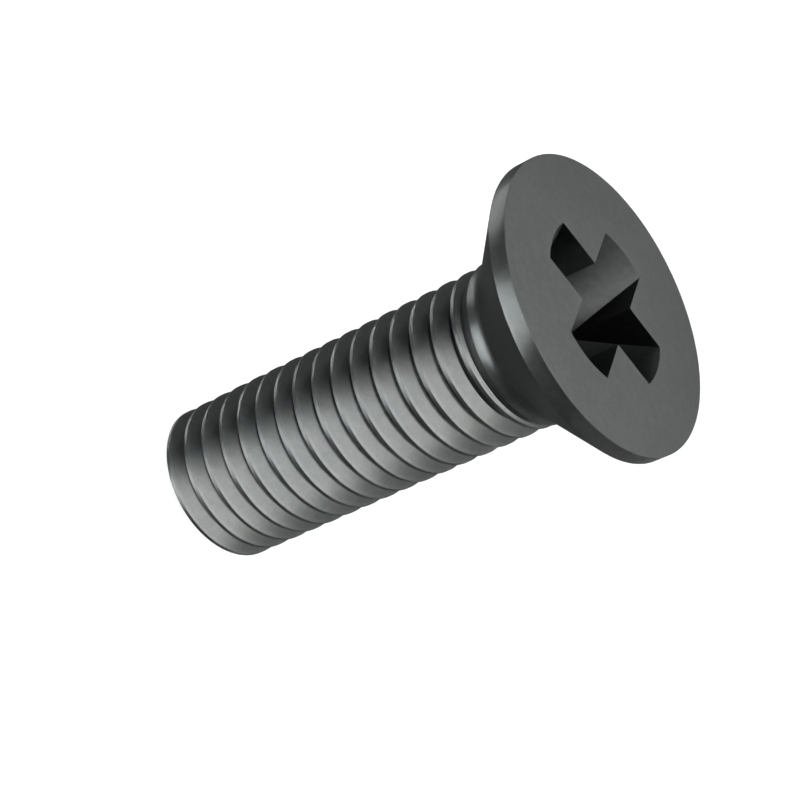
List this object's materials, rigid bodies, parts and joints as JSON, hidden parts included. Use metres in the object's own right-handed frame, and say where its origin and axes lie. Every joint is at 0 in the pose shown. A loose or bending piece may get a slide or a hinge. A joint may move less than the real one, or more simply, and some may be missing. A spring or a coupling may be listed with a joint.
{
  "type": "countersunk machine screw",
  "caption": "Countersunk machine screw, M10 x 30, with a flat head, a cross recess and a coarse right-hand thread up to the neck.",
  "frame": {"origin": "centre of the flat end of the shank, on the surface that the screw stands on", "axes": "+Z along the screw's axis, from the end up to the flat face of the head; +X along one pair of wings of the cross recess"},
  "size_m": [0.018, 0.018, 0.03],
  "materials": {
    "steel": "plain dark steel, smooth"
  },
  "bodies": {
    "root": {"screw": "steel"}
  },
  "joints": []
}
